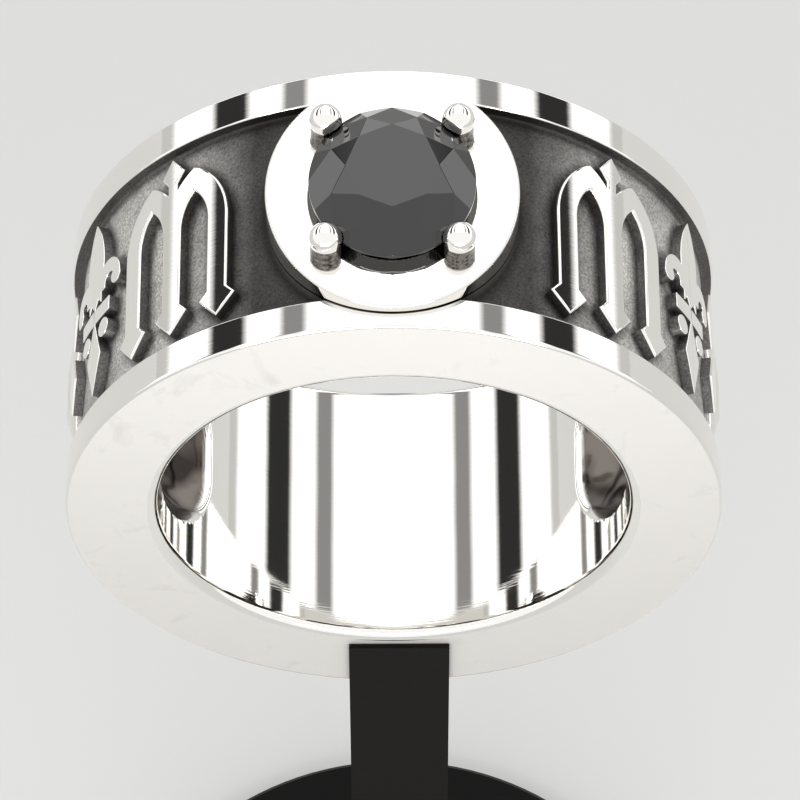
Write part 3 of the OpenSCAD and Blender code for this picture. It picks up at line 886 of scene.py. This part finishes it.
def make_skull(name, side):
    """A raised skull, upright with its forehead to the back of the ring."""
    step = 0.055
    xs = np.arange(-4.1, 4.1 + step / 2, step)
    ys = np.arange(-4.75, 4.75 + step / 2, step)
    x, y = np.meshgrid(xs, ys, indexing="ij")
    height = skull_height(x, y)
    # Dark patina stays where the surface lies below its surroundings
    near_mean = blurred(blurred(height, 7), 7)
    tarnish = np.clip((near_mean - height) / 0.1, 0, 1) + eased(0.1, -0.2, height)
    tarnish = np.clip(blurred(tarnish, 1), 0, 1)

    margin = 0.14
    within = skull_outline(x, y) < margin
    cells = within[:-1, :-1] & within[1:, :-1] & within[1:, 1:] & within[:-1, 1:]
    index = np.arange(x.size).reshape(x.shape)
    used = [index[:-1, :-1][cells], index[1:, :-1][cells], index[1:, 1:][cells], index[:-1, 1:][cells]]
    top = np.stack(used, axis=1)
    bottom = top[:, ::-1] + x.size
    loops = np.concatenate([top[:, [a, (a + 1) % 4]] for a in range(4)])
    keys = set(map(tuple, loops.tolist()))
    walls = [(b, a, a + x.size, b + x.size) for a, b in keys if (b, a) not in keys]
    flat = np.stack([x.ravel(), y.ravel()], axis=1)
    upper = round_ring(np.column_stack([flat, FIELD_R + height.ravel()]), side * SKULL_ANGLE)
    lower = round_ring(np.column_stack([flat, np.full(x.size, SKULL_ROOT)]), side * SKULL_ANGLE)
    points = np.concatenate([upper, lower])
    faces = np.concatenate([top, bottom, np.array(walls)])
    numbers, kept = np.unique(faces, return_inverse=True)
    faces = kept.reshape(faces.shape)
    skull = solid(name, points[numbers], faces.tolist(), [ANTIQUED], crease=60)
    mark(skull, "tarnish", np.concatenate([tarnish.ravel(), np.ones(x.size)])[numbers])
    return on_band(skull)


def facet(first, second, third):
    """A cutting plane through three points given as (angle in degrees, radius, height)."""
    a, b, c = (Vector((r * math.cos(math.radians(t)), r * math.sin(math.radians(t)), z))
               for t, r, z in (first, second, third))
    normal = (b - a).cross(c - a).normalized()
    middle = Vector((0, 0, (GIRDLE_LOW + GIRDLE_HIGH) / 2))
    return a, normal if normal.dot(a - middle) > 0 else -normal


def brilliant_facets():
    """The planes of a brilliant: table, stars, kites, upper and lower halves, and mains."""
    step = 45
    half_step = step / 2
    half = math.cos(math.radians(half_step))
    slope = (TABLE_Z - GIRDLE_HIGH) / (STONE_R - TABLE_R)
    crown_mid_z = TABLE_Z - slope * (CROWN_MID_R * half - TABLE_R)
    deep = GIRDLE_LOW - CULET_Z
    pavilion_mid_z = GIRDLE_LOW - deep * (STONE_R - PAVILION_MID_R * half) / STONE_R
    planes = [(Vector((0, 0, TABLE_Z)), Vector((0, 0, 1)))]
    for t in range(0, 360, step):
        mid = (t + half_step, CROWN_MID_R, crown_mid_z)
        low_mid = (t + half_step, PAVILION_MID_R, pavilion_mid_z)
        planes.append(facet((t, TABLE_R, TABLE_Z), (t, STONE_R, GIRDLE_HIGH), mid))
        planes.append(facet((t, TABLE_R, TABLE_Z), (t + step, TABLE_R, TABLE_Z), mid))
        planes.append(facet((t, 0, CULET_Z), (t, STONE_R, GIRDLE_LOW), low_mid))
        for girdle in (t, t + step):
            upper, lower = (girdle, STONE_R, GIRDLE_HIGH), (girdle, STONE_R, GIRDLE_LOW)
            planes.append(facet(mid, upper, (t + half_step, STONE_R, GIRDLE_HIGH)))
            planes.append(facet(low_mid, lower, (t + half_step, STONE_R, GIRDLE_LOW)))
    return planes


def make_stone():
    """The stone, cut facet by facet from a round blank, with the facet edges just broken."""
    blank = [(0, CULET_Z - 1), (STONE_R, CULET_Z - 1), (STONE_R, TABLE_Z + 1), (0, TABLE_Z + 1)]
    form = lathe(blank, 128)
    near = 1e-5
    flattest_edge, broken = 4, 0.012
    for place, normal in brilliant_facets():
        cut = bmesh.ops.bisect_plane(form, geom=form.verts[:] + form.edges[:] + form.faces[:], dist=near,
                                     plane_co=place, plane_no=normal, clear_outer=True)["geom_cut"]
        edges = [e for e in cut if isinstance(e, bmesh.types.BMEdge) and e.is_boundary]
        if edges:
            bmesh.ops.edgeloop_fill(form, edges=edges)
    for vert in form.verts:
        vert.co.y *= STRETCH
    bmesh.ops.recalc_face_normals(form, faces=form.faces)
    facet_edges = [e for e in form.edges if len(e.link_faces) == 2
                   and math.degrees(e.calc_face_angle(0)) > flattest_edge]
    bmesh.ops.bevel(form, geom=facet_edges, offset=broken, segments=1, affect="EDGES", clamp_overlap=True)
    stone = solid_from(form, "stone_cut", [SPINEL], crease=2.9)
    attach(stone, "root")
    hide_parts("stone")
    return stone


def dress_stand():
    """The stand keeps its solids, with the sharp edges broken and a coat of lacquer."""
    for name in ("stand_post", "stand_foot"):
        node = frame["nodes"][name]
        node.data.materials.clear()
        node.data.materials.append(LACQUER)
        edge = node.modifiers.new("broken_edge", "BEVEL")
        edge.width = 0.08 * MM
        edge.segments = 2
        edge.limit_method = "ANGLE"
        edge.angle_limit = math.radians(40)
        weigh_normals(node)


def make_floor():
    """A plain pale floor, far wider than any view of it."""
    half = 3.0
    mesh = bpy.data.meshes.new("floor")
    mesh.from_pydata([(-half, -half, 0), (half, -half, 0), (half, half, 0), (-half, half, 0)], [],
                     [(0, 1, 2, 3)])
    floor = bpy.data.objects.new("floor", mesh)
    bpy.context.scene.collection.objects.link(floor)
    material, tree, _ = new_material("pale_floor")
    shader = add(tree, "BsdfPrincipled",
                 {"Base Color": linear(FLOOR_PALE), "Roughness": 0.8, "Specular IOR Level": 0.2})
    add(tree, "OutputMaterial", links={"Surface": shader})
    mesh.materials.append(material)


def light_studio():
    """A soft white tent, with a grey and a dark flag on each side of its far half."""
    front_white, far_white = 1.05, 1.8
    soft = math.radians(FLAG_EDGE)
    world = bpy.data.worlds.new("studio")
    bpy.context.scene.world = world
    world.use_nodes = True
    tree = world.node_tree
    tree.nodes.clear()
    direction = add(tree, "TexCoord").outputs["Generated"]
    parts = add(tree, "SeparateXYZ", links={0: direction})
    angle = add(tree, "Math", {"operation": "ARCTAN2"}, {0: parts.outputs["X"], 1: parts.outputs["Z"]})
    side = add(tree, "Math", {"operation": "ABSOLUTE"}, {0: angle})
    colour = add(tree, "CombineXYZ", {0: far_white, 1: far_white, 2: far_white}).outputs[0]
    for flag in FLAGS:
        half = math.radians(flag["width"] / 2)
        off = add(tree, "Math", {"operation": "SUBTRACT", 1: math.radians(flag["middle"])}, {0: side})
        away = add(tree, "Math", {"operation": "ABSOLUTE"}, {0: off})
        inside = add(tree, "MapRange",
                     {"From Min": half - soft, "From Max": half + soft, "To Min": 1.0, "To Max": 0.0},
                     {"Value": away})
        over = add(tree, "Mix", {"data_type": "RGBA", 7: linear(flag["tone"])}, {0: inside, 6: colour})
        colour = over.outputs[2]
    # The flags end above the middle of the tent, and a little above the floor's far edge
    far_half = add(tree, "MapRange",
                   {"interpolation_type": "SMOOTHSTEP", "From Min": 0.0, "From Max": 0.3},
                   {"Value": parts.outputs["Y"]})
    above_floor = add(tree, "MapRange",
                      {"interpolation_type": "SMOOTHSTEP", "From Min": 0.04, "From Max": 0.12},
                      {"Value": parts.outputs["Z"]})
    hung = add(tree, "Mix", {"data_type": "RGBA", 6: linear(FLOOR_PALE)}, {0: above_floor, 7: colour})
    white = (front_white, front_white, front_white, 1)
    light = add(tree, "Mix", {"data_type": "RGBA", 6: white}, {0: far_half, 7: hung.outputs[2]})
    background = add(tree, "Background", links={"Color": light.outputs[2]})
    add(tree, "OutputWorld", links={"Surface": background})


def hang_softbox():
    """A soft box close in front of the ring's upper half, so that the face darkens downwards."""
    wide, high, watts = 60, 16, 0.03
    from_ring = (0, -50, 20)
    data = bpy.data.lights.new("softbox", "AREA")
    data.shape = "RECTANGLE"
    data.size = wide * MM
    data.size_y = high * MM
    data.energy = watts
    softbox = bpy.data.objects.new("softbox", data)
    place = Vector(from_ring) * MM
    softbox.location = place + Vector((0, 0, RING_Z * MM))
    softbox.rotation_euler = place.to_track_quat("Z", "Y").to_euler()
    bpy.context.scene.collection.objects.link(softbox)


def set_camera():
    """A long lens above the front of the ring, at the photograph's angle."""
    distance = 16.470 * RING_R * MM
    elevation, pitch, yaw, roll = (math.radians(a) for a in (56.0654, 0.1510, 0.1298, -0.1508))
    focal_pixels = 5322.5
    image_side = 800
    down = -(elevation + pitch)
    ahead = Vector((math.sin(yaw) * math.cos(down), math.cos(yaw) * math.cos(down), math.sin(down)))
    right = Vector((math.cos(yaw), -math.sin(yaw), 0))
    up = right.cross(ahead)
    turned_right = right * math.cos(roll) + up * math.sin(roll)
    turned_up = up * math.cos(roll) - right * math.sin(roll)
    data = bpy.data.cameras.new("camera")
    data.sensor_width = 36
    data.lens = focal_pixels / image_side * data.sensor_width
    data.clip_start = 0.01
    camera = bpy.data.objects.new("camera", data)
    turn = Matrix((turned_right, turned_up, -ahead)).transposed().to_4x4()
    place = Vector((0, -distance * math.cos(elevation), RING_Z * MM + distance * math.sin(elevation)))
    camera.matrix_world = Matrix.Translation(place) @ turn
    bpy.context.scene.collection.objects.link(camera)
    bpy.context.scene.camera = camera
    bpy.context.scene.view_settings.view_transform = "Standard"


set_camera()
make_band(make_frieze())
make_plate()
make_prongs()
make_skull("skull_left", -1)
make_skull("skull_right", 1)
make_stone()
dress_stand()
make_floor()
light_studio()
hang_softbox()
